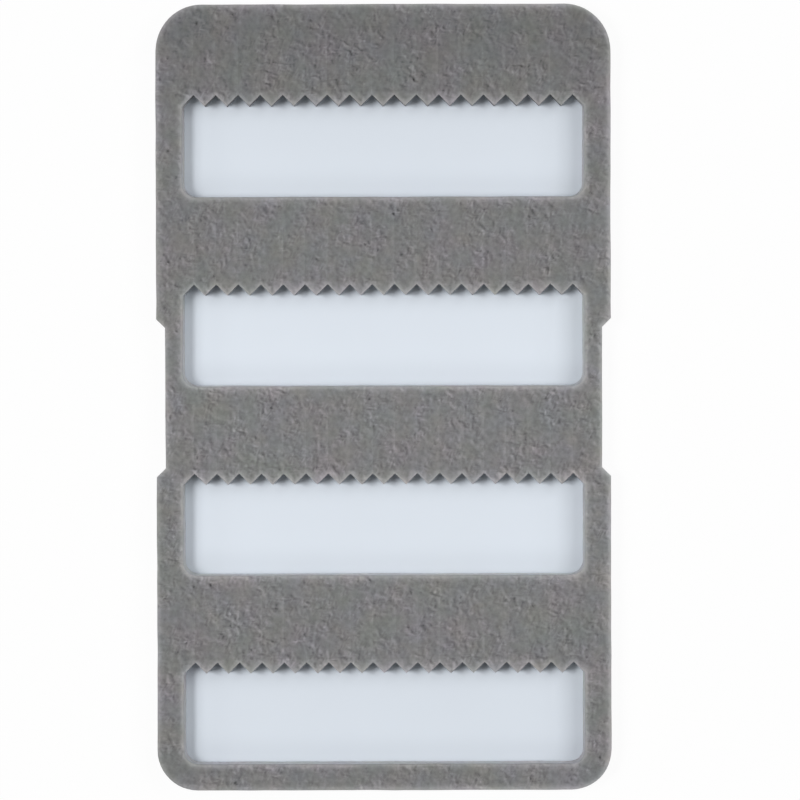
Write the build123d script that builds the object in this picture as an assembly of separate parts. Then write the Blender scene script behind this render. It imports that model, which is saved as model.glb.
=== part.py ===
from build123d import *

import os

# Foam insert leaf of a fly box, for dry flies, lying flat with its foam side up.
# Millimetres. +Y points to the deep top band, +Z out of the foam's face, and the
# origin is the centre of the backing plate's underside.

# Hook rows: zig-zag notches, each with a slit that grips a hook bend
notch_pitch = 5.0  # from one notch root to the next
notch_depth = 2.5  # tooth tip to notch root
notches_per_row = 18
slit_kerf = 0.2  # width that the slitting blade leaves open
slit_margin = 5.0  # foam left uncut in a bar, from its slits' upper ends to the next window
top_slit_margin = 7.1  # the same in the top band, to the outer edge

# Windows that keep the hackles clear
row_count = 4
window_clear = 20.4  # tooth tips down to the window's lower edge
window_corner_radius = 3.0  # the two lower corners

# Foam left around the windows
top_band = 20.3  # outer edge to the first row of notch roots
side_rail = 6.0
bottom_rail = 5.9

# Outline
length = 176.5  # the rows are spread evenly over it
top_corner_radius = 10.4
bottom_corner_radius = 9.0
recess_length = 31.5  # locating recess at mid-length of each long side, at its floor
recess_depth = 2.0  # its ends slope at 45 degrees
lip_radius = 0.6  # the foam's upper edges are pressed round by the cutting die

# Layers
foam_thickness = 7.0
film_thickness = 0.15  # double-sided adhesive film
plate_thickness = 1.0
plate_inset = 0.5  # the plate's edge sits this far inside the foam's
plate_edge_break = 0.2  # chamfer round the plate's underside

window_width = notches_per_row * notch_pitch
window_height = notch_depth + window_clear
row_pitch = (length - top_band - window_height - bottom_rail) / (row_count - 1)
width = window_width + 2 * side_rail
film_z = plate_thickness
foam_z = film_z + film_thickness


def root_line(row):
    """Y of the notch roots of a row, counted from the top band down."""
    return length / 2 - top_band - row * row_pitch


def outline():
    """The foam's outline: a rounded rectangle with a recess in each long side."""
    edge = width / 2
    floor = edge - recess_depth
    foot = recess_length / 2
    mouth = foot + recess_depth
    with BuildSketch() as sketch:
        Rectangle(width, length)
        fillet(sketch.vertices().group_by(Axis.Y)[-1], top_corner_radius)
        fillet(sketch.vertices().group_by(Axis.Y)[0], bottom_corner_radius)
        for side in (-1, 1):
            with BuildLine():
                Polyline(
                    (side * edge, mouth),
                    (side * floor, foot),
                    (side * floor, -foot),
                    (side * edge, -mouth),
                    close=True,
                )
            make_face(mode=Mode.SUBTRACT)
    return sketch.sketch


def inset_outline():
    """The outline of the layers under the foam, which stay inside its edge."""
    return offset(outline(), amount=-plate_inset, kind=Kind.INTERSECTION)


def window(row):
    """One window: zig-zag upper edge, straight sides and two rounded lower corners."""
    root = root_line(row)
    left = -window_width / 2
    tip = root - notch_depth
    bottom = root - window_height
    zigzag = []
    for step in range(2 * notches_per_row + 1):
        zigzag.append((left + step * notch_pitch / 2, root if step % 2 else tip))
    with BuildSketch() as sketch:
        with BuildLine():
            Polyline(*zigzag, (-left, bottom), (left, bottom), close=True)
        make_face()
        fillet(sketch.vertices().group_by(Axis.Y)[0], window_corner_radius)
    return sketch.sketch


def windows():
    return [window(row) for row in range(row_count)]


def slits(row):
    """The slits of one row, each from its notch root up into the bar."""
    if row == 0:
        end = length / 2 - top_slit_margin
    else:
        end = root_line(row - 1) - window_height - slit_margin
    start = root_line(row) - slit_kerf  # inside the notch, so that slit and notch are joined
    with BuildSketch() as sketch:
        with Locations((0, (start + end) / 2)):
            with GridLocations(notch_pitch, 0, notches_per_row, 1):
                Rectangle(slit_kerf, end - start)
    return sketch.sketch


def in_zigzag(edge):
    """True for an edge between the notch roots and the tooth tips of a window."""
    middle = edge @ 0.5
    if abs(middle.X) > window_width / 2:
        return False
    return any(root_line(row) - notch_depth < middle.Y < root_line(row) for row in range(row_count))


def make_foam_pad():
    with BuildPart() as part:
        with BuildSketch(Plane.XY.offset(foam_z)):
            add(outline())
            add(windows(), mode=Mode.SUBTRACT)
        extrude(amount=foam_thickness)
        upper_edges = part.faces().sort_by(Axis.Z)[-1].edges()
        fillet([edge for edge in upper_edges if not in_zigzag(edge)], lip_radius)
        with BuildSketch(Plane.XY.offset(foam_z)):
            for row in range(row_count):
                add(slits(row))
        extrude(amount=foam_thickness, mode=Mode.SUBTRACT)
    return part.part


def make_adhesive_film():
    with BuildPart() as part:
        with BuildSketch(Plane.XY.offset(film_z)):
            add(inset_outline())
            add(windows(), mode=Mode.SUBTRACT)
        extrude(amount=film_thickness)
    return part.part


def make_backing_plate():
    with BuildPart() as part:
        with BuildSketch():
            add(inset_outline())
        extrude(amount=plate_thickness)
        chamfer(part.faces().sort_by(Axis.Z)[0].edges(), plate_edge_break)
    return part.part


os.makedirs("parts", exist_ok=True)
export_step(make_foam_pad(), "parts/foam_pad.step")
export_step(make_adhesive_film(), "parts/adhesive_film.step")
export_step(make_backing_plate(), "parts/backing_plate.step")
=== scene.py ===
"""Dresses the foam insert leaf of a fly box: slit foam, adhesive film, backing plate and stage."""

import math

import bmesh
import bpy
from bpy.props import FloatProperty, FloatVectorProperty, IntProperty, PointerProperty
from mathutils import Euler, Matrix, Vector, noise


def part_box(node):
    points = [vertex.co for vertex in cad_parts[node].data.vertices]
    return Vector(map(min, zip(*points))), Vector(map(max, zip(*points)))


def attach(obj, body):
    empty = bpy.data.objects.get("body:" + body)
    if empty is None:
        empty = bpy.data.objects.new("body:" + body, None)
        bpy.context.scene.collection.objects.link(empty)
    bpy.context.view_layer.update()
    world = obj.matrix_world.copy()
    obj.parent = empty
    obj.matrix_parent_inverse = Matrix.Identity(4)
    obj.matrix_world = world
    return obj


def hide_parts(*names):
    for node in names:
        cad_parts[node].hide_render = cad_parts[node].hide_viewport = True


bl_info = {
    "name": "Fly Box Foam Leaf",
    "version": (1, 0, 0),
    "blender": (4, 5, 0),
    "location": "3D View > Sidebar > Foam Leaf",
    "description": "Models the slit foam of a fly box leaf and finishes the leaf's packed pieces",
    "category": "Object",
}

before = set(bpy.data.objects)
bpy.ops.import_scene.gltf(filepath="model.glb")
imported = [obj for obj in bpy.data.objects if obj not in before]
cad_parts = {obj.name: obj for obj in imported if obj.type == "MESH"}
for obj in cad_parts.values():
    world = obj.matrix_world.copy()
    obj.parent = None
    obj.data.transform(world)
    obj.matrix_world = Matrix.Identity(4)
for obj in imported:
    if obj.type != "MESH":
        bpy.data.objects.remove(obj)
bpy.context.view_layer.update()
FOAM_LOW, FOAM_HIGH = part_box("foam_pad")
PLATE_LOW, PLATE_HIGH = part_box("backing_plate")

MM = 1000.0  # millimetres in a metre
NEAR = 0.002  # two places closer than this, in millimetres, are the same place
X, Y, Z = range(3)  # the axes, in the order of a vector's sockets


# ---------------------------------------------------------------- sizes and colours


def length_prop(name, description, default):
    return FloatProperty(
        name=name, description=description, default=default, unit="LENGTH", precision=5, min=0.0
    )


def angle_prop(name, description, degrees):
    return FloatProperty(
        name=name, description=description, default=math.radians(degrees), unit="ROTATION"
    )


def colour_prop(name, description, default):
    return FloatVectorProperty(
        name=name, description=description, default=default, subtype="COLOR", min=0.0, max=1.0
    )


def share_prop(name, description, default):
    return FloatProperty(name=name, description=description, default=default, subtype="FACTOR", min=0.0)


class FoamLeafSizes(bpy.types.PropertyGroup):
    notch_pitch: length_prop("Notch pitch", "From one notch root to the next", 0.005)
    notch_depth: length_prop("Notch depth", "From a tooth's tip to the notch root", 0.0025)
    notches_per_row: IntProperty(
        name="Notches per row", description="Notches along one window", default=18, min=1
    )
    row_count: IntProperty(name="Rows", description="Windows in the leaf", default=4, min=1)
    window_clear: length_prop("Window height", "From the tooth tips to the lower edge", 0.0204)
    window_corner: length_prop("Window corner", "Radius of a window's lower corners", 0.003)
    top_band: length_prop("Top band", "Outer edge to the first notch roots", 0.0203)
    bottom_rail: length_prop("Bottom rail", "Foam under the last window", 0.0059)
    top_corner: length_prop("Top corner", "Radius of the two corners beside the top band", 0.0104)
    bottom_corner: length_prop("Bottom corner", "Radius of the other two corners", 0.009)
    recess_length: length_prop("Recess length", "Side recess at its floor", 0.0315)
    recess_depth: length_prop("Recess depth", "Depth of a side recess", 0.002)
    slit_margin: length_prop("Slit margin", "Uncut foam above a bar's slits", 0.005)
    top_slit_margin: length_prop("Top slit margin", "Uncut foam above the top band's slits", 0.0071)
    slit_gap: length_prop("Slit gap", "How far a slit's closed lips stand apart", 0.00002)
    slit_lip: length_prop("Slit lip", "How far a slit's lips stand up", 0.00006)
    lip_round: length_prop("Lip rounding", "Radius that the die presses on the upper edges", 0.0006)
    wall_bow: length_prop("Wall bow", "How far a cut wall draws in at mid-height", 0.00015)
    foot_spread: length_prop("Foot spread", "How far a window's side wall spreads at its foot", 0.0002)
    sill_spread: length_prop("Sill spread", "How far a window's lower wall spreads at its foot", 0.00008)
    waver: length_prop("Waver", "How far the soft foam strays from the die's line", 0.00009)


class FoamLeafFinish(bpy.types.PropertyGroup):
    foam_cool: colour_prop("Cool foam", "Foam where its dye is coolest", (0.204, 0.2103, 0.2245))
    foam_warm: colour_prop("Warm foam", "Foam where its dye is warmest", (0.2175, 0.2103, 0.1995))
    foam_green: colour_prop("Green foam", "Foam where its dye leans to green", (0.2024, 0.2165, 0.2024))
    foam_violet: colour_prop("Violet foam", "Foam where it leans to violet", (0.2209, 0.2045, 0.2219))
    grain: share_prop("Grain", "How strongly the foam's grain shows", 0.88)
    odd_cells: share_prop("Odd cells", "How strongly single pale and dark cells show", 0.31)
    # Painted relief shading: cell walls painted lit on one side and shaded on the other.
    cell_relief_shading: share_prop("Cell relief shading", "How strongly the cell walls' painted relief shading shows", 0.9)
    mottle: share_prop("Mottle", "How strongly broad patches of the foam show", 0.05)
    # Paler foam at a cut, partly painted highlight on the lips and painted glow on the walls.
    pressed_gain: share_prop("Paleness and light gain", "How much paler the foam is right at a cut", 1.25)
    film: colour_prop("Film", "Adhesive film", (0.62, 0.65, 0.68))
    plate: colour_prop("Plate", "Backing plate", (0.751, 0.808, 0.878))
    # These two paint shade on the plate beside the windows' lower edges and ends.
    sill_painted_shade: share_prop("Sill dust", "Dust on the plate along a window's lower edge", 0.115)
    window_end_painted_shade: share_prop("End dust", "Dust on the plate beside a window's two ends", 0.045)
    floor: colour_prop("Floor", "Studio floor", (0.93, 0.93, 0.93))


class FoamLeafStage(bpy.types.PropertyGroup):
    camera_height: length_prop("Camera height", "From the camera to the foam's face", 1.5)
    camera_lean: angle_prop("Camera lean", "How far it leans from overhead towards +Y", 1.6)
    camera_turn: angle_prop("Camera turn", "How far it is turned from the leaf's length", -0.15)
    aim: FloatVectorProperty(
        name="Aim",
        description="The place on the foam's face that the camera looks at",
        default=(0.00365, -0.0005),
        size=2,
        unit="LENGTH",
        precision=5,
    )
    view_width: length_prop("View width", "Width of the view at the foam's face", 0.1795)
    lamp_distance: length_prop("Lamp distance", "From the leaf's centre to each lamp", 3.0)
    floor_size: length_prop("Floor size", "Side of the square floor", 8.0)
    floor_gap: length_prop("Floor gap", "Air between the floor and the plate lying on it", 0.0001)
    surroundings: share_prop("Surroundings", "Share of the light that comes from all round", 0.11)


# ---------------------------------------------------------------- shader expressions


class Socket:
    """A node's output. Arithmetic on it adds Math nodes to its graph."""

    def __init__(self, graph, output):
        self.graph = graph
        self.output = output

    def math(self, operation, *values):
        return self.graph.node("Math", {"operation": operation}, dict(enumerate(values)))

    def __add__(self, other):
        return self.math("ADD", self, other)

    def __sub__(self, other):
        return self.math("SUBTRACT", self, other)

    def __rsub__(self, other):
        return self.math("SUBTRACT", other, self)

    def __mul__(self, other):
        return self.math("MULTIPLY", self, other)

    def __truediv__(self, other):
        return self.math("DIVIDE", self, other)

    def __pow__(self, power):
        return self.math("POWER", self, power)

    def __neg__(self):
        return self.math("MULTIPLY", self, -1.0)

    def __abs__(self):
        return self.math("ABSOLUTE", self)

    def __gt__(self, other):
        return self.math("GREATER_THAN", self, other)

    def fraction(self):
        return self.math("FRACT", self)

    def exponential(self):
        return self.math("EXPONENT", self)

    def larger(self, other):
        return self.math("MAXIMUM", self, other)

    __radd__ = __add__
    __rmul__ = __mul__


class Graph:
    """The node tree of a material or of the world, emptied. Places in it are in millimetres."""

    def __init__(self, owner):
        owner.use_nodes = True
        self.tree = owner.node_tree
        self.tree.nodes.clear()

    def node(self, kind, settings=None, values=None, output=0):
        """Adds a node, with its settings and with the values or links of its sockets."""
        made = self.tree.nodes.new("ShaderNode" + kind)
        for name, value in (settings or {}).items():
            setattr(made, name, value)
        for name, value in (values or {}).items():
            if isinstance(value, Socket):
                self.tree.links.new(value.output, made.inputs[name])
            else:
                made.inputs[name].default_value = value
        return Socket(self, made.outputs[output])

    def place(self, stretch=(1.0, 1.0, 1.0)):
        """The surface's place, stretched along each axis."""
        return self.node(
            "Mapping",
            values={
                "Vector": self.node("TexCoord", output="Object"),
                "Scale": [MM * share for share in stretch],
            },
        )

    def along(self, place, axis):
        """How far a place lies along that axis, as a number."""
        return self.node("SeparateXYZ", values={0: place}, output=axis)

    def beside(self, place, offset):
        """The place that lies that far away."""
        return self.node("VectorMath", {"operation": "ADD"}, {0: place, 1: offset})

    def warp(self, place, size, reach):
        """The place, led astray within that reach by patches of that size."""
        values = {0: self.noise(place, size, output="Color"), 1: (reach, reach, reach), 2: place}
        return self.node("VectorMath", {"operation": "MULTIPLY_ADD"}, values)

    def noise(self, place, size, detail=2.0, roughness=0.5, distortion=0.0, output=0):
        """Noise from 0 to 1 with patches of that size."""
        values = {"Vector": place, "Scale": 1.0 / size, "Detail": detail}
        values.update({"Roughness": roughness, "Distortion": distortion})
        return self.node("TexNoise", values=values, output=output)

    def cells(self, place, pitch, output):
        """Cells at that pitch: the Distance from the middle of each, or a random Color for each."""
        return self.node("TexVoronoi", values={"Vector": place, "Scale": 1.0 / pitch}, output=output)

    def attribute(self, name):
        return self.node("Attribute", {"attribute_name": name}, output="Fac")

    def remap(self, value, source, target=(0.0, 1.0)):
        """The value, taken from the source range to the target range and kept within it."""
        values = {"Value": value, "From Min": source[0], "From Max": source[1]}
        values.update({"To Min": target[0], "To Max": target[1]})
        return self.node("MapRange", {"clamp": True}, values)

    def blend(self, share, first, second):
        """A colour between first and second, through the Mix node's sockets for colours."""
        return self.node("Mix", {"data_type": "RGBA"}, {0: share, 6: first, 7: second}, output=2)

    def scale(self, colour, factor):
        return self.node("VectorMath", {"operation": "SCALE"}, {0: colour, "Scale": factor})

    def bump(self, height, depth, strength):
        return self.node("Bump", values={"Height": height, "Distance": depth / MM, "Strength": strength})

    def finish(self, surface):
        """Joins a shader to the output of the material or the world."""
        owner = "World" if isinstance(self.tree.id_data, bpy.types.World) else "Material"
        made = self.tree.nodes.new("ShaderNodeOutput" + owner)
        self.tree.links.new(surface.output, made.inputs["Surface"])


def opaque(colour):
    return (*colour, 1.0)


# ---------------------------------------------------------------- materials


def foam_material(finish):
    """Grey closed-cell foam: uneven grain, odd cells and painted relief shading, paler and smoother
    beside a cut partly as painted highlight, with painted shade towards the leaf's edges.
    """
    material = bpy.data.materials.new("slit_foam")
    graph = Graph(material)
    place = graph.place(stretch=(1.0, 0.95, 1.0))
    grain = graph.noise(place, 1.2, detail=3.0, roughness=0.6) - 0.5
    mottle = graph.noise(place, 14.0, detail=3.0) - 0.5
    odd = speckle(graph, graph.warp(place, size=0.7, reach=0.9), pitch=0.92)
    # The cells carry the odd cells and the cell walls' painted relief shading.
    cells = odd * finish.odd_cells + cell_relief_shading(graph, place) * finish.cell_relief_shading
    crowding = graph.remap(graph.noise(place, 4.5), (0.35, 0.65), (0.2, 1.8))
    unevenness = grain * finish.grain + cells * crowding + mottle * finish.mottle

    pale = paleness_and_painted_light(graph, place)
    calm = graph.remap(pale, (0.0, 1.0), (1.0, 0.35))
    # Grain, painted highlight and glow beside the cuts, and painted shade towards the leaf's edges.
    shade = (1.0 + unevenness * calm) * (1.0 + pale * finish.pressed_gain) * painted_edge_shade(graph)
    surface = graph.node(
        "BsdfPrincipled",
        values={
            "Base Color": graph.scale(foam_dye(graph, place, finish), shade),
            "Roughness": graph.remap(grain, (-0.2, 0.2), (0.84, 0.95)),
            "Specular IOR Level": 0.25,
            "Normal": graph.bump((grain + cells * 0.3) * calm, depth=0.25, strength=0.6),
        },
    )
    graph.finish(surface)
    return material


def foam_dye(graph, place, finish):
    """The dye's colour, which drifts between four close greys."""
    warmth = graph.remap(graph.noise(place, 7.0, detail=3.0, roughness=0.6), (0.35, 0.65))
    lean = graph.remap(graph.noise(place, 9.0, detail=3.0, roughness=0.6), (0.35, 0.65))
    cool_or_warm = graph.blend(warmth, opaque(finish.foam_cool), opaque(finish.foam_warm))
    green_or_violet = graph.blend(lean, opaque(finish.foam_green), opaque(finish.foam_violet))
    return graph.blend(graph.noise(place, 5.0), cool_or_warm, green_or_violet)


def cell_relief_shading(graph, place):
    """Cell walls with painted relief shading: each is painted lit on one side and shaded on the other,
    above and below 0.
    """
    walls = {"size": 1.6, "detail": 2.0, "roughness": 0.6, "distortion": 0.8}
    other_side = graph.beside(place, (0.5, 0.3, 0.0))
    return graph.noise(other_side, **walls) - graph.noise(place, **walls)


def speckle(graph, place, pitch):
    """Cells at that pitch, a few of them pale, as many dark and the rest plain, from 1 to -1."""
    middle = graph.remap(graph.cells(place, pitch, "Distance"), (0.1, 0.5), (1.0, 0.0))
    lot = graph.node("SeparateColor", values={0: graph.cells(place, pitch, "Color")})
    pale = graph.remap(lot, (0.72, 1.0))
    dark = graph.remap(lot, (0.0, 0.28), (1.0, 0.0))
    return middle * (pale - dark)


def paleness_and_painted_light(graph, place):
    """How pale the foam is beside a cut, partly its own paleness, partly painted highlight on the lips
    and painted glow on the walls: it fades within a millimetre or so of a cut.
    """
    reach = graph.remap(graph.noise(place, 9.0, detail=1.0), (0.3, 0.7), (0.46, 0.74))
    return graph.attribute("pressed") * (-graph.attribute("inward") / reach).exponential()


def painted_edge_shade(graph):
    """Painted shade: the foam is painted darker towards the leaf's edges, the top band most, where the
    light falls off.
    """
    place = graph.place()
    half_width = FOAM_HIGH.x * MM
    half_length = FOAM_HIGH.y * MM
    palest = -6.0  # how far along the leaf the painted shade is lightest
    side = graph.remap(abs(graph.along(place, X)), (half_width - 13.0, half_width - 4.0))
    top = graph.remap(graph.along(place, Y), (palest, half_length - 5.25))
    bottom = graph.remap(graph.along(place, Y), (palest, 0.25 - half_length))
    ends = top * 0.11 + top**4.0 * 0.115 + bottom * 0.045 + bottom**4.0 * 0.08
    return 1.0 - ends - side * 0.035


def plate_material(finish, plan):
    """White polypropylene sheet, calendered to a soft satin, with a faint cloudiness, painted shade
    towards its ends and painted shade beside the windows' walls.
    """
    material = bpy.data.materials.new("white_plate")
    graph = Graph(material)
    place = graph.place()
    cloud = graph.noise(place, 22.0) - 0.5
    satin = graph.noise(place, 0.12)
    wave = graph.noise(place, 9.0, detail=1.0)
    # Painted shade: the plate is painted darker towards the leaf's two ends.
    top_end_painted_shade = graph.remap(graph.along(place, Y), (20.0, 75.0), (0.0, 0.07))
    bottom_end_painted_shade = graph.remap(graph.along(place, Y), (-20.0, -75.0), (0.0, 0.045))
    cloud_and_end_shade = 1.0 + cloud * 0.03 - (top_end_painted_shade + bottom_end_painted_shade)
    # Painted shade beside the windows' walls darkens the plate further.
    shade = cloud_and_end_shade * (1.0 - shading(graph, place, finish, plan))
    surface = graph.node(
        "BsdfPrincipled",
        values={
            "Base Color": graph.scale(finish.plate, shade),
            "Roughness": graph.remap(satin, (0.3, 0.7), (0.46, 0.60)),
            "Specular IOR Level": 0.3,
            "Normal": graph.bump(satin * 0.25 + wave * 0.75, depth=0.03, strength=0.4),
        },
    )
    graph.finish(surface)
    return material


def shading(graph, place, finish, plan):
    """Painted shade on the plate's upper face, where its walls shade it: most along each window's lower
    edge, less beside its two ends.
    """
    across, along, height = (graph.along(place, axis) for axis in (X, Y, Z))
    lowest_sill = plan.root(plan.row_count - 1) - plan.window_height
    from_sill = ((along - lowest_sill) / plan.row_pitch).fraction() * plan.row_pitch
    from_end = plan.window_width / 2 - abs(across)
    along_sills = shade_band(from_sill, middle=1.6, reach=3.5) * finish.sill_painted_shade
    beside_ends = shade_band(from_end, middle=5.5, reach=4.5) * finish.window_end_painted_shade
    just_under_face = PLATE_HIGH.z * MM - 0.1
    return (along_sills + beside_ends) * (height > just_under_face)


def shade_band(distance, middle, reach):
    """A soft band of painted shade, 1 at its middle, which lies that far from a wall."""
    away = (distance - middle) / reach
    return (-(away * away)).exponential()


def film_material(finish):
    """Clear adhesive film, with small trapped bubbles."""
    material = bpy.data.materials.new("adhesive_film")
    graph = Graph(material)
    place = graph.place()
    bubbles = graph.cells(place, 1.4, "Distance")
    haze = graph.noise(place, 4.0, detail=3.0)
    shade = graph.remap(bubbles, (0.0, 0.25), (1.12, 1.0)) * (0.94 + haze * 0.12)
    surface = graph.node(
        "BsdfPrincipled",
        values={
            "Base Color": graph.scale(finish.film, shade),
            "Roughness": graph.remap(haze, (0.3, 0.7), (0.25, 0.4)),
            "Normal": graph.bump(bubbles, depth=0.02, strength=0.3),
        },
    )
    graph.finish(surface)
    return material


def floor_material(finish):
    """Pale paper floor. It shows white and keeps part of the leaf's shadow."""
    material = bpy.data.materials.new("studio_floor")
    graph = Graph(material)
    fibre = graph.noise(graph.place(), 0.8, detail=3.0)
    paper = graph.node(
        "BsdfPrincipled",
        values={
            "Base Color": graph.scale(finish.floor, 0.99 + fibre * 0.02),
            "Roughness": graph.remap(fibre, (0.3, 0.7), (0.85, 0.95)),
            "Specular IOR Level": 0.1,
        },
    )
    white = graph.node("Emission", values={"Color": opaque((1.0, 1.0, 1.0)), "Strength": 1.0})
    whiteness = seen_directly(graph) * 0.94
    graph.finish(graph.node("MixShader", values={0: whiteness, 1: paper, 2: white}))
    return material


def seen_directly(graph):
    """1 on rays from the camera or from a shiny or clear surface, 0 on the rays that light things."""
    path = ("Is Camera Ray", "Is Glossy Ray", "Is Transmission Ray")
    camera, glossy, clear = (graph.node("LightPath", output=name) for name in path)
    return camera.larger(glossy).larger(clear)


# ---------------------------------------------------------------- modelling helpers


def start_sheet(name, width, height, middle):
    """A rectangle in the XY plane, in millimetres, left in edit mode."""
    bpy.ops.object.select_all(action="DESELECT")
    bpy.ops.mesh.primitive_plane_add(size=1.0, location=(0.0, middle, 0.0))
    sheet = bpy.context.object
    sheet.name = name
    sheet.scale = (width, height, 1.0)
    bpy.ops.object.transform_apply(location=True, rotation=False, scale=True)
    bpy.ops.object.mode_set(mode="EDIT")
    return sheet


def centre_of(element):
    if isinstance(element, bmesh.types.BMEdge):
        return (element.verts[0].co + element.verts[1].co) / 2
    return element.co


def pick(piece, kind, test):
    """Selects, in edit mode, only the vertices or edges whose centre passes the test."""
    bpy.ops.mesh.select_mode(type=kind)
    bpy.ops.mesh.select_all(action="DESELECT")
    mesh = bmesh.from_edit_mesh(piece.data)
    elements = {"VERT": mesh.verts, "EDGE": mesh.edges}[kind]
    found = [element for element in elements if test(centre_of(element))]
    if not found:
        raise RuntimeError(f"{piece.name} has no {kind.lower()} where one is needed")
    for element in found:
        element.select_set(True)
    mesh.select_flush_mode()
    bmesh.update_edit_mesh(piece.data)


def split_edges(piece, test, length, spacing):
    """Divides the straight edges that pass the test, each of that length, at about that spacing."""
    pick(piece, "EDGE", test)
    bpy.ops.mesh.subdivide(number_cuts=max(1, round(length / spacing) - 1))


def keep_rim(piece):
    """Leaves only the outline of a sheet, as edges, and goes back to object mode."""
    bpy.ops.mesh.select_all(action="SELECT")
    bpy.ops.mesh.region_to_loop()
    bpy.ops.mesh.select_all(action="INVERT")
    bpy.ops.mesh.delete(type="EDGE")
    bpy.ops.mesh.select_all(action="SELECT")
    bpy.ops.mesh.delete(type="ONLY_FACE")
    bpy.ops.object.mode_set(mode="OBJECT")


# ---------------------------------------------------------------- the foam's plan


class Plan:
    """The leaf's plan, from its sizes and from the frame's box of the foam.

    It is in millimetres, and the foam is modelled at 1 unit to the millimetre, because small
    features keep their precision there.
    """

    # The mesh
    edge_spacing = 2.0  # between the points of a straight edge
    slit_spacing = 1.9  # between the points along a slit
    slit_mouth = 0.9  # length of slit that the tooth's rounding runs out over
    window_corner_steps = 8
    top_corner_steps = 14
    bottom_corner_steps = 12
    rings = (0.03, 0.11, 0.24, 0.4, 0.6, 0.9, 1.3, 1.75)  # how far in from a cut each ring of faces ends
    wall_levels = (0.86, 0.70, 0.50, 0.30, 0.12, 0.0)  # heights of a wall's rings, as shares of its own
    smooth_angle = math.radians(35.0)  # faces that meet at less than this are shaded as one

    # How the die and the blade leave the foam
    root_softness = 0.15  # a notch's root keeps its edge, because no blade turns there
    slit_lip_reach = 0.9  # how far from a slit its raised lip runs out
    waver_seed = 5  # noise vectors are drawn from it, so that every run gives the same leaf
    waver_length = 7.0  # of the long wavers of the edges
    ripple_length = 2.3  # of the short ones on top of them
    ripple_share = 0.35  # how large those are, as a share of the long ones
    swell_length = 16.0  # of the face's rise and fall
    swell_share = 0.5  # how large that is, as a share of the edges' wavers

    # How pale the foam is beside its cuts: partly its own paleness, partly painted highlight on the lips
    # and painted glow on the walls
    window_paleness = 1.3
    sill_paleness = 1.0  # along a window's lower edge
    root_paleness = 0.8
    slit_paleness = 0.1
    slit_lip_light = 0.05  # how much paler a slit's -X lip is painted and its +X lip darker: painted highlight and painted shade
    rim_paleness = 1.1
    rim_side_light = 0.25  # how much paler the rim is painted at +X than half-way, and darker at -X: painted light, as if it fell more from +X
    rim_ends = 0.2  # how much paler the rim is at its two ends
    # Walls are painted pale as a painted glow of light through the foam; tooth walls get little of it,
    # so the notches stay in shade.
    wall_painted_glow = 1.4
    sill_wall_painted_glow = 1.75
    tooth_wall_painted_glow = 0.1
    wall_glow = 0.1  # light that comes through the foam makes a wall look as pale as a lip this far out

    # Margins, which only have to be less than the foam between one cut and the next
    window_margin = 1.0
    slit_reach = 15.0  # longer than any slit, and shorter than the way to the next window

    def __init__(self, sizes):
        self.width = (FOAM_HIGH.x - FOAM_LOW.x) * MM
        self.length = (FOAM_HIGH.y - FOAM_LOW.y) * MM
        self.low = FOAM_LOW.z * MM
        self.high = FOAM_HIGH.z * MM
        for name in sizes.__annotations__:
            value = getattr(sizes, name)
            setattr(self, name, value if isinstance(value, int) else value * MM)
        self.window_width = self.notches_per_row * self.notch_pitch
        self.window_height = self.notch_depth + self.window_clear
        spread = self.length - self.top_band - self.window_height - self.bottom_rail
        self.row_pitch = spread / max(1, self.row_count - 1)

    def root(self, row):
        """Y of a row's notch roots, counted from the top band down."""
        return self.length / 2 - self.top_band - row * self.row_pitch

    def slit_end(self, row):
        """Y of the upper ends of a row's slits."""
        if row == 0:
            return self.length / 2 - self.top_slit_margin
        return self.root(row - 1) - self.window_height - self.slit_margin

    def in_windows(self, point):
        """True for a point of the windows' outlines, and not of the leaf's own."""
        beside = abs(point.x) < self.window_width / 2 + self.window_margin
        return beside and abs(point.y) < self.length / 2 - self.window_margin

    def in_teeth(self, point):
        """True beside a row of teeth or its slits."""
        if abs(point.x) > self.window_width / 2 - NEAR:
            return False
        tips = (self.root(row) - self.notch_depth for row in range(self.row_count))
        return any(tip - NEAR < point.y < tip + self.notch_depth + self.slit_reach for tip in tips)

    def on_sill(self, point):
        """True on a window's lower edge."""
        sills = (self.root(row) - self.window_height for row in range(self.row_count))
        return any(abs(point.y - sill) < NEAR for sill in sills)

    def cut_at(self, point):
        """How far a cut's lip is rounded over, and how pale it is painted there, partly as painted
        highlight, at a point of the outline.
        """
        if not self.in_windows(point):
            return 1.0, self.rim_at(2 * point.x / self.width, 2 * point.y / self.length)
        mouth = 2 * self.slit_gap  # a slit's mouth lies within this of its notch's root
        for row in range(self.row_count):
            root = self.root(row)
            if root + mouth < point.y < self.slit_end(row) + NEAR:
                return 0.0, self.slit_paleness + self.slit_lip_light * self.slit_side(point.x)
            if abs(point.y - root) <= mouth:
                return self.root_softness, self.root_paleness
        return 1.0, self.sill_paleness if self.on_sill(point) else self.window_paleness

    def slit_side(self, across):
        """1 on a slit's -X lip and -1 on its +X lip."""
        from_notch_start = (across + self.window_width / 2) % self.notch_pitch
        return 1.0 if from_notch_start < self.notch_pitch / 2 else -1.0

    def rim_at(self, across, along):
        """How pale the leaf's rim is at a place, given from -1 to 1 across and along the leaf."""
        return self.rim_paleness + self.rim_side_light * across + self.rim_ends * along**2

    def wall_at(self, point):
        """How pale a cut wall is painted below its lip, as a painted glow of light through the foam."""
        if self.in_teeth(point):
            return self.tooth_wall_painted_glow
        return self.sill_wall_painted_glow if self.on_sill(point) else self.wall_painted_glow


# ---------------------------------------------------------------- the foam


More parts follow.
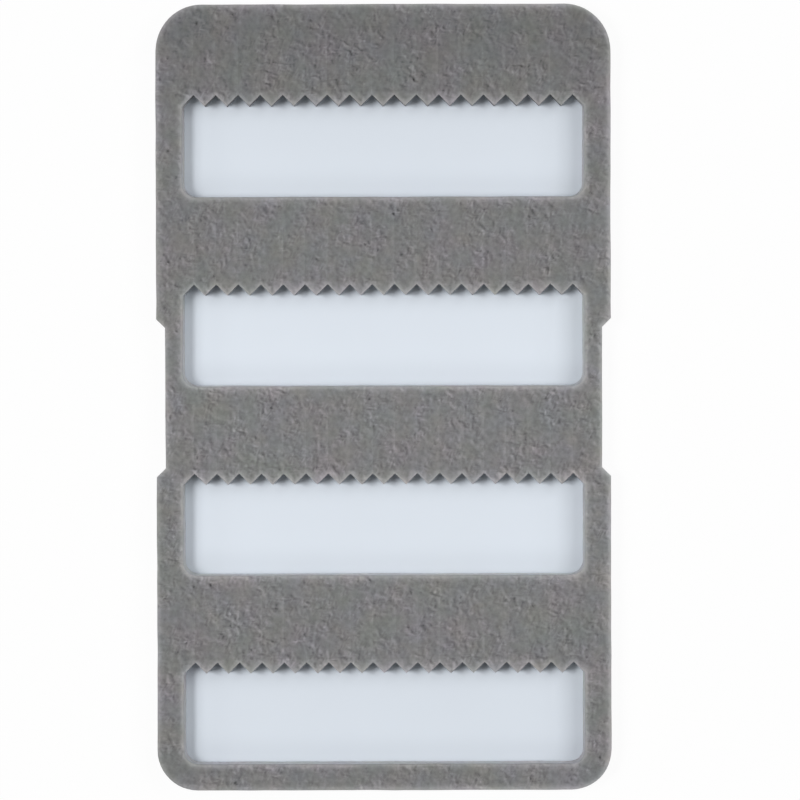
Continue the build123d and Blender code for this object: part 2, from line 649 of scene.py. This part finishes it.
def window_outline(plan, row):
    """A window's outline: rounded lower corners, zig-zag upper edge and a slit from each root."""
    root = plan.root(row)
    tip = root - plan.notch_depth
    bottom = root - plan.window_height
    half = plan.window_width / 2
    sheet = start_sheet(f"window_{row + 1}", plan.window_width, plan.window_clear, (tip + bottom) / 2)
    pick(sheet, "VERT", lambda p: p.y < bottom + NEAR)
    bpy.ops.mesh.bevel(offset=plan.window_corner, segments=plan.window_corner_steps, affect="VERTICES")

    pick(sheet, "EDGE", lambda p: p.y > tip - NEAR)
    bpy.ops.mesh.subdivide(number_cuts=2 * plan.notches_per_row - 1)
    half_pitch = plan.notch_pitch / 2
    pick(sheet, "VERT", lambda p: p.y > tip - NEAR and round((p.x + half) / half_pitch) % 2 == 1)
    bpy.ops.transform.translate(value=(0.0, plan.notch_depth, 0.0))

    bpy.ops.mesh.bevel(offset=plan.slit_gap / math.sqrt(2), segments=1, affect="VERTICES")
    pick(sheet, "EDGE", lambda p: p.y > root - 2 * plan.slit_gap)
    length = plan.slit_end(row) - root - plan.slit_mouth
    steps = round(length / plan.slit_spacing)
    for step in (plan.slit_mouth, *[length / steps] * steps):
        bpy.ops.mesh.extrude_region_move(TRANSFORM_OT_translate={"value": (0.0, step, 0.0)})

    side = tip - bottom - plan.window_corner
    split_edges(sheet, lambda p: abs(abs(p.x) - half) < NEAR, side, plan.edge_spacing)
    split_edges(sheet, lambda p: p.y < bottom + NEAR, plan.window_width, plan.edge_spacing)
    keep_rim(sheet)
    return sheet


def leaf_outline(plan):
    """The leaf's outline: four rounded corners and a recess with sloping ends in each long side."""
    half_width = plan.width / 2
    half_length = plan.length / 2
    foot = plan.recess_length / 2
    mouth = foot + plan.recess_depth
    sheet = start_sheet("slit_foam", plan.width, plan.length, 0.0)
    pick(sheet, "VERT", lambda p: p.y > 0)
    bpy.ops.mesh.bevel(offset=plan.top_corner, segments=plan.top_corner_steps, affect="VERTICES")
    pick(sheet, "VERT", lambda p: p.y < NEAR - half_length)
    bpy.ops.mesh.bevel(offset=plan.bottom_corner, segments=plan.bottom_corner_steps, affect="VERTICES")
    for line in (mouth, foot, -foot, -mouth):
        bpy.ops.mesh.select_all(action="SELECT")
        bpy.ops.mesh.bisect(plane_co=(0.0, line, 0.0), plane_no=(0.0, 1.0, 0.0))
    pick(sheet, "VERT", lambda p: abs(p.y) < foot + NEAR)
    bpy.ops.transform.resize(value=(1.0 - plan.recess_depth / half_width, 1.0, 1.0))

    upper_side = half_length - plan.top_corner - mouth
    lower_side = half_length - plan.bottom_corner - mouth
    floor = half_width - plan.recess_depth
    split_edges(sheet, lambda p: abs(p.x) > half_width - NEAR and p.y > 0, upper_side, plan.edge_spacing)
    split_edges(sheet, lambda p: abs(p.x) > half_width - NEAR and p.y < 0, lower_side, plan.edge_spacing)
    split_edges(sheet, lambda p: abs(abs(p.x) - floor) < NEAR, plan.recess_length, plan.edge_spacing)
    split_edges(sheet, lambda p: abs(p.y) > half_length - NEAR, plan.width, plan.edge_spacing)
    keep_rim(sheet)
    return sheet


def cut_sheet(plan):
    """The foam's face as one flat sheet with its windows, notches and slits cut out."""
    windows = [window_outline(plan, row) for row in range(plan.row_count)]
    sheet = leaf_outline(plan)
    bpy.ops.object.select_all(action="DESELECT")
    for piece in (*windows, sheet):
        piece.select_set(True)
    bpy.context.view_layer.objects.active = sheet
    bpy.ops.object.join()
    bpy.ops.object.mode_set(mode="EDIT")
    bpy.ops.mesh.select_all(action="SELECT")
    bpy.ops.mesh.fill(use_beauty=True)
    return sheet


def layers_of(mesh, *names):
    """The layers of those names, in which each vertex keeps what the cut next to it is like."""
    return [mesh.verts.layers.float[name] for name in names]


def ring_in(sheet, plan):
    """Insets the face ring by ring. Each ring takes over what its cut is like and notes its depth."""
    mesh = bmesh.from_edit_mesh(sheet.data)
    for name in ("softness", "pressed", "inward"):
        mesh.verts.layers.float.new(name)
    softness, pressed = layers_of(mesh, "softness", "pressed")
    for vertex in mesh.verts:
        vertex[softness], vertex[pressed] = plan.cut_at(vertex.co)
    bmesh.update_edit_mesh(sheet.data)
    reached = 0.0
    for ring in plan.rings:
        bpy.ops.mesh.select_mode(type="FACE")
        bpy.ops.mesh.inset(thickness=ring - reached, depth=0.0, use_boundary=True, use_even_offset=True)
        mesh = bmesh.from_edit_mesh(sheet.data)
        softness, pressed, inward = layers_of(mesh, "softness", "pressed", "inward")
        for vertex in mesh.verts:
            if vertex.select:
                nearby = (edge.other_vert(vertex) for edge in vertex.link_edges)
                outer = next(other for other in nearby if not other.select)
                vertex[softness] = outer[softness]
                vertex[pressed] = outer[pressed]
                vertex[inward] = ring
        reached = ring
    bmesh.update_edit_mesh(sheet.data)


def shape_lips(sheet, plan):
    """Rounds the rims and teeth over and lifts the slits' lips a little, ring by ring."""
    mesh = bmesh.from_edit_mesh(sheet.data)
    softness, inward = layers_of(mesh, "softness", "inward")
    for vertex in mesh.verts:
        short = max(0.0, plan.lip_round - vertex[inward])
        drop = plan.lip_round - math.sqrt(plan.lip_round**2 - short**2)
        lift = 0.0
        if vertex[softness] == 0.0:
            lift = plan.slit_lip * max(0.0, 1.0 - vertex[inward] / plan.slit_lip_reach) ** 2
        vertex.co.z = plan.high - drop * vertex[softness] + lift
    bmesh.update_edit_mesh(sheet.data)


def drop_walls(sheet, plan):
    """Extrudes every cut down to the adhesive film and closes the back."""
    bpy.ops.mesh.select_mode(type="EDGE")
    bpy.ops.mesh.select_all(action="DESELECT")
    bpy.ops.mesh.select_non_manifold(
        extend=False, use_wire=False, use_boundary=True, use_multi_face=False, use_non_contiguous=False
    )
    for level in plan.wall_levels:
        bpy.ops.mesh.extrude_region_move(TRANSFORM_OT_translate={"value": (0.0, 0.0, -NEAR)})
        mesh = bmesh.from_edit_mesh(sheet.data)
        pressed, inward = layers_of(mesh, "pressed", "inward")
        for vertex in mesh.verts:
            if vertex.select:
                vertex.co.z = plan.low + level * (plan.high - plan.low)
                vertex[pressed] = plan.wall_at(vertex.co)
                vertex[inward] = -plan.wall_glow
        bmesh.update_edit_mesh(sheet.data)
    bpy.ops.mesh.fill(use_beauty=True)
    bpy.ops.mesh.select_all(action="SELECT")
    bpy.ops.mesh.normals_make_consistent(inside=False)


def bow_walls(sheet, plan):
    """Draws each wall in at mid-height, and spreads the windows' walls at their foot."""
    mesh = bmesh.from_edit_mesh(sheet.data)
    softness = mesh.verts.layers.float["softness"]
    for vertex in mesh.verts:
        if vertex[softness] == 0.0 or vertex.co.z >= plan.high - plan.lip_round - NEAR:
            continue
        height = (vertex.co.z - plan.low) / (plan.high - plan.low)
        outward = Vector((vertex.normal.x, vertex.normal.y, 0.0))
        vertex.co -= outward * plan.wall_bow * 4.0 * height * (1.0 - height)
        if vertex[softness] == 1.0 and plan.in_windows(vertex.co):
            outward.normalize()
            spread = plan.foot_spread * abs(outward.x) + plan.sill_spread * abs(outward.y)
            vertex.co += outward * spread * (1.0 - height) ** 2
    bmesh.update_edit_mesh(sheet.data)


def waver(piece, plan):
    """Lets the soft foam stray a little from the die's straight lines, and its face rise and fall."""
    noise.seed_set(plan.waver_seed)
    for vertex in piece.data.vertices:
        place = vertex.co.copy()
        ripple = noise.noise_vector(place / plan.ripple_length) * plan.ripple_share
        stray = noise.noise_vector(place / plan.waver_length) + ripple
        vertex.co.x += plan.waver * stray.x
        vertex.co.y += plan.waver * stray.y
        if place.z > plan.high - plan.lip_round:
            swell = noise.noise(place / plan.swell_length) * plan.swell_share
            vertex.co.z += plan.waver * swell


class OBJECT_OT_leaf_foam(bpy.types.Operator):
    """Models the die-cut slit foam and lets it stand for the frame's plain foam solid"""

    bl_idname = "object.leaf_foam"
    bl_label = "Slit Foam"

    def execute(self, context):
        plan = Plan(context.scene.leaf_sizes)
        foam = cut_sheet(plan)
        ring_in(foam, plan)
        shape_lips(foam, plan)
        drop_walls(foam, plan)
        bow_walls(foam, plan)
        bpy.ops.object.mode_set(mode="OBJECT")
        waver(foam, plan)

        foam.scale = (1.0 / MM, 1.0 / MM, 1.0 / MM)
        bpy.ops.object.select_all(action="DESELECT")
        foam.select_set(True)
        context.view_layer.objects.active = foam
        bpy.ops.object.transform_apply(location=True, rotation=True, scale=True)
        bpy.ops.object.shade_smooth_by_angle(angle=plan.smooth_angle)
        foam.data.materials.clear()
        foam.data.materials.append(foam_material(context.scene.leaf_finish))
        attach(foam, "root")
        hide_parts("foam_pad")
        return {"FINISHED"}


# ---------------------------------------------------------------- film and plate


def dress_node(name, material):
    """Gives a CAD node a material in place of its plain one."""
    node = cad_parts[name]
    node.data.materials.clear()
    node.data.materials.append(material)


class OBJECT_OT_leaf_film(bpy.types.Operator):
    """Finishes the adhesive film between foam and plate"""

    bl_idname = "object.leaf_film"
    bl_label = "Adhesive Film"

    def execute(self, context):
        dress_node("adhesive_film", film_material(context.scene.leaf_finish))
        return {"FINISHED"}


class OBJECT_OT_leaf_plate(bpy.types.Operator):
    """Finishes the white backing plate"""

    bl_idname = "object.leaf_plate"
    bl_label = "Backing Plate"

    def execute(self, context):
        plan = Plan(context.scene.leaf_sizes)
        dress_node("backing_plate", plate_material(context.scene.leaf_finish, plan))
        return {"FINISHED"}


# ---------------------------------------------------------------- the stage


def add_floor(stage, finish):
    """The studio floor, a hair below the plate, so that the two never share a plane."""
    bpy.ops.object.select_all(action="DESELECT")
    below = PLATE_LOW.z - stage.floor_gap
    bpy.ops.mesh.primitive_plane_add(size=stage.floor_size, location=(0.0, 0.0, below))
    floor = bpy.context.object
    floor.name = "studio_floor"
    floor.data.materials.append(floor_material(finish))


def add_lamp(name, distance, lean, rise, share, across, along):
    """A soft lamp, turned from overhead by its lean to +X and its rise to +Y, in degrees.

    Seen from the leaf it is that many degrees wide and long, and a level white sheet under it alone
    shows that share of full white.
    """
    turn = Euler((math.radians(-rise), math.radians(lean), 0.0))
    place = turn.to_matrix() @ Vector((0.0, 0.0, distance))
    bpy.ops.object.light_add(type="AREA", location=place, rotation=turn)
    lamp = bpy.context.object
    lamp.name = name
    lamp.data.shape = "RECTANGLE"
    lamp.data.size = 2 * distance * math.tan(math.radians(across) / 2)
    lamp.data.size_y = 2 * distance * math.tan(math.radians(along) / 2)
    lamp.data.energy = share * math.pi**2 * distance**3 / place.z
    lamp.visible_camera = False


def add_surroundings(scene, strength):
    """Dim light from all round, which is seen as white."""
    world = bpy.data.worlds.new("surroundings")
    scene.world = world
    graph = Graph(world)
    white = opaque((1.0, 1.0, 1.0))
    lit = graph.node("Background", values={"Color": white, "Strength": strength})
    seen = graph.node("Background", values={"Color": white, "Strength": 1.0})
    graph.finish(graph.node("MixShader", values={0: seen_directly(graph), 1: lit, 2: seen}))


def add_camera(scene, stage):
    """A camera over the foam's face, with a lens that takes in the view's width there."""
    turn = Euler((-stage.camera_lean, 0.0, stage.camera_turn))
    away = turn.to_matrix() @ Vector((0.0, 0.0, stage.camera_height))
    bpy.ops.object.camera_add(location=Vector((*stage.aim, FOAM_HIGH.z)) + away, rotation=turn)
    camera = bpy.context.object
    camera.name = "camera"
    camera.data.lens = camera.data.sensor_width * stage.camera_height / stage.view_width
    scene.camera = camera


class OBJECT_OT_leaf_stage(bpy.types.Operator):
    """Adds the floor, the lamps, the surroundings and the camera"""

    bl_idname = "object.leaf_stage"
    bl_label = "Stage"

    def execute(self, context):
        scene = context.scene
        stage = scene.leaf_stage
        far = stage.lamp_distance
        add_floor(stage, scene.leaf_finish)
        add_lamp("left_lamp", far, lean=-19.8, rise=1.8, share=0.35, across=9.0, along=14.0)
        add_lamp("low_left_lamp", far, lean=-30.0, rise=1.8, share=0.14, across=12.0, along=20.0)
        add_lamp("right_lamp", far, lean=29.9, rise=10.0, share=0.36, across=29.0, along=44.0)
        add_surroundings(scene, stage.surroundings)
        add_camera(scene, stage)
        scene.view_settings.view_transform = "Standard"
        return {"FINISHED"}


# ---------------------------------------------------------------- the add-on


class VIEW3D_PT_foam_leaf(bpy.types.Panel):
    """Lists the leaf's pieces, and its sizes and colours"""

    bl_idname = "VIEW3D_PT_foam_leaf"
    bl_label = "Foam Leaf"
    bl_space_type = "VIEW_3D"
    bl_region_type = "UI"
    bl_category = "Foam Leaf"

    def draw(self, context):
        for operator in OPERATORS:
            self.layout.operator(operator.bl_idname)
        for group in GROUPS:
            settings = getattr(context.scene, group)
            box = self.layout.box()
            for name in settings.__annotations__:
                box.prop(settings, name)


OPERATORS = (OBJECT_OT_leaf_plate, OBJECT_OT_leaf_film, OBJECT_OT_leaf_foam, OBJECT_OT_leaf_stage)
GROUPS = {"leaf_sizes": FoamLeafSizes, "leaf_finish": FoamLeafFinish, "leaf_stage": FoamLeafStage}
CLASSES = (*GROUPS.values(), *OPERATORS, VIEW3D_PT_foam_leaf)


def register():
    for cls in CLASSES:
        bpy.utils.register_class(cls)
    for name, group in GROUPS.items():
        setattr(bpy.types.Scene, name, PointerProperty(type=group))


def unregister():
    for name in GROUPS:
        delattr(bpy.types.Scene, name)
    for cls in reversed(CLASSES):
        bpy.utils.unregister_class(cls)


def main():
    register()
    bpy.ops.object.leaf_plate()
    bpy.ops.object.leaf_film()
    bpy.ops.object.leaf_foam()
    bpy.ops.object.leaf_stage()


if __name__ == "__main__":
    main()
